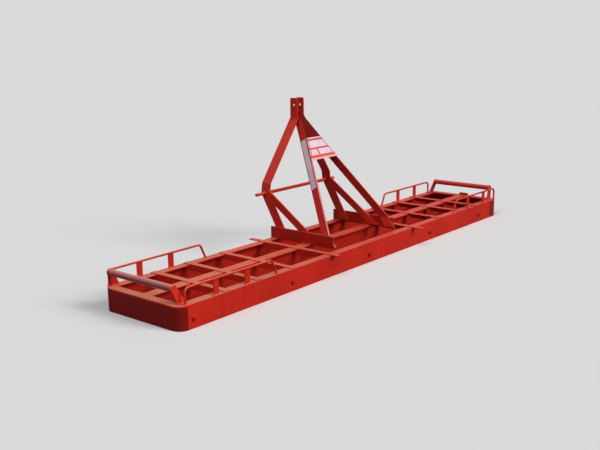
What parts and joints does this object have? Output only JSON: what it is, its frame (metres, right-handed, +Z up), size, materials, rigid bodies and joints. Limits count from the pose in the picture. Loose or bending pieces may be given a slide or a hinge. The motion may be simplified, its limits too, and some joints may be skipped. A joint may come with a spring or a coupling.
{
  "type": "three-point-mounted land leveler",
  "caption": "Land leveler: a long ring of steel skirt plate with cross angles, end bars, side rails and a three-point hitch mast.",
  "frame": {"origin": "bottom centre of the bounding box, on the ground", "axes": "+X along the working width, to the tractor driver's right; +Y forwards, towards the tractor; +Z up"},
  "size_m": [3.66, 0.815, 1.092],
  "materials": {
    "red_paint": "orange-red gloss paint over welded steel, dusty on top and worn at the edges",
    "sign": "blank white sign with red bands, satin"
  },
  "bodies": {
    "root": {"base_bar_left": "red_paint", "base_bar_right": "red_paint", "brace_left": "red_paint", "brace_right": "red_paint", "centre_blade": "red_paint", "corner_front_left": "red_paint", "corner_front_right": "red_paint", "corner_rear_left": "red_paint", "corner_rear_right": "red_paint", "cross_angle_inner_left": "red_paint", "cross_angle_inner_right": "red_paint", "cross_angle_middle_left": "red_paint", "cross_angle_middle_right": "red_paint", "cross_angle_outer_left": "red_paint", "cross_angle_outer_right": "red_paint", "end_bar_left": "red_paint", "end_bar_right": "red_paint", "end_post_front_left": "red_paint", "end_post_front_right": "red_paint", "end_post_rear_left": "red_paint", "end_post_rear_right": "red_paint", "front_leg_left": "red_paint", "front_leg_right": "red_paint", "hitch_shaft": "red_paint", "link_ear_left": "red_paint", "link_ear_right": "red_paint", "mast_bearer_left": "red_paint", "mast_bearer_right": "red_paint", "rear_stay_left": "red_paint", "rear_stay_right": "red_paint", "side_rail_front_left": "red_paint", "side_rail_front_right": "red_paint", "side_rail_rear_left": "red_paint", "side_rail_rear_right": "red_paint", "sign_board": "sign", "skirt_front": "red_paint", "skirt_left": "red_paint", "skirt_rear": "red_paint", "skirt_right": "red_paint", "stay_sheet": "red_paint", "wear_strip": "red_paint"}
  },
  "joints": []
}
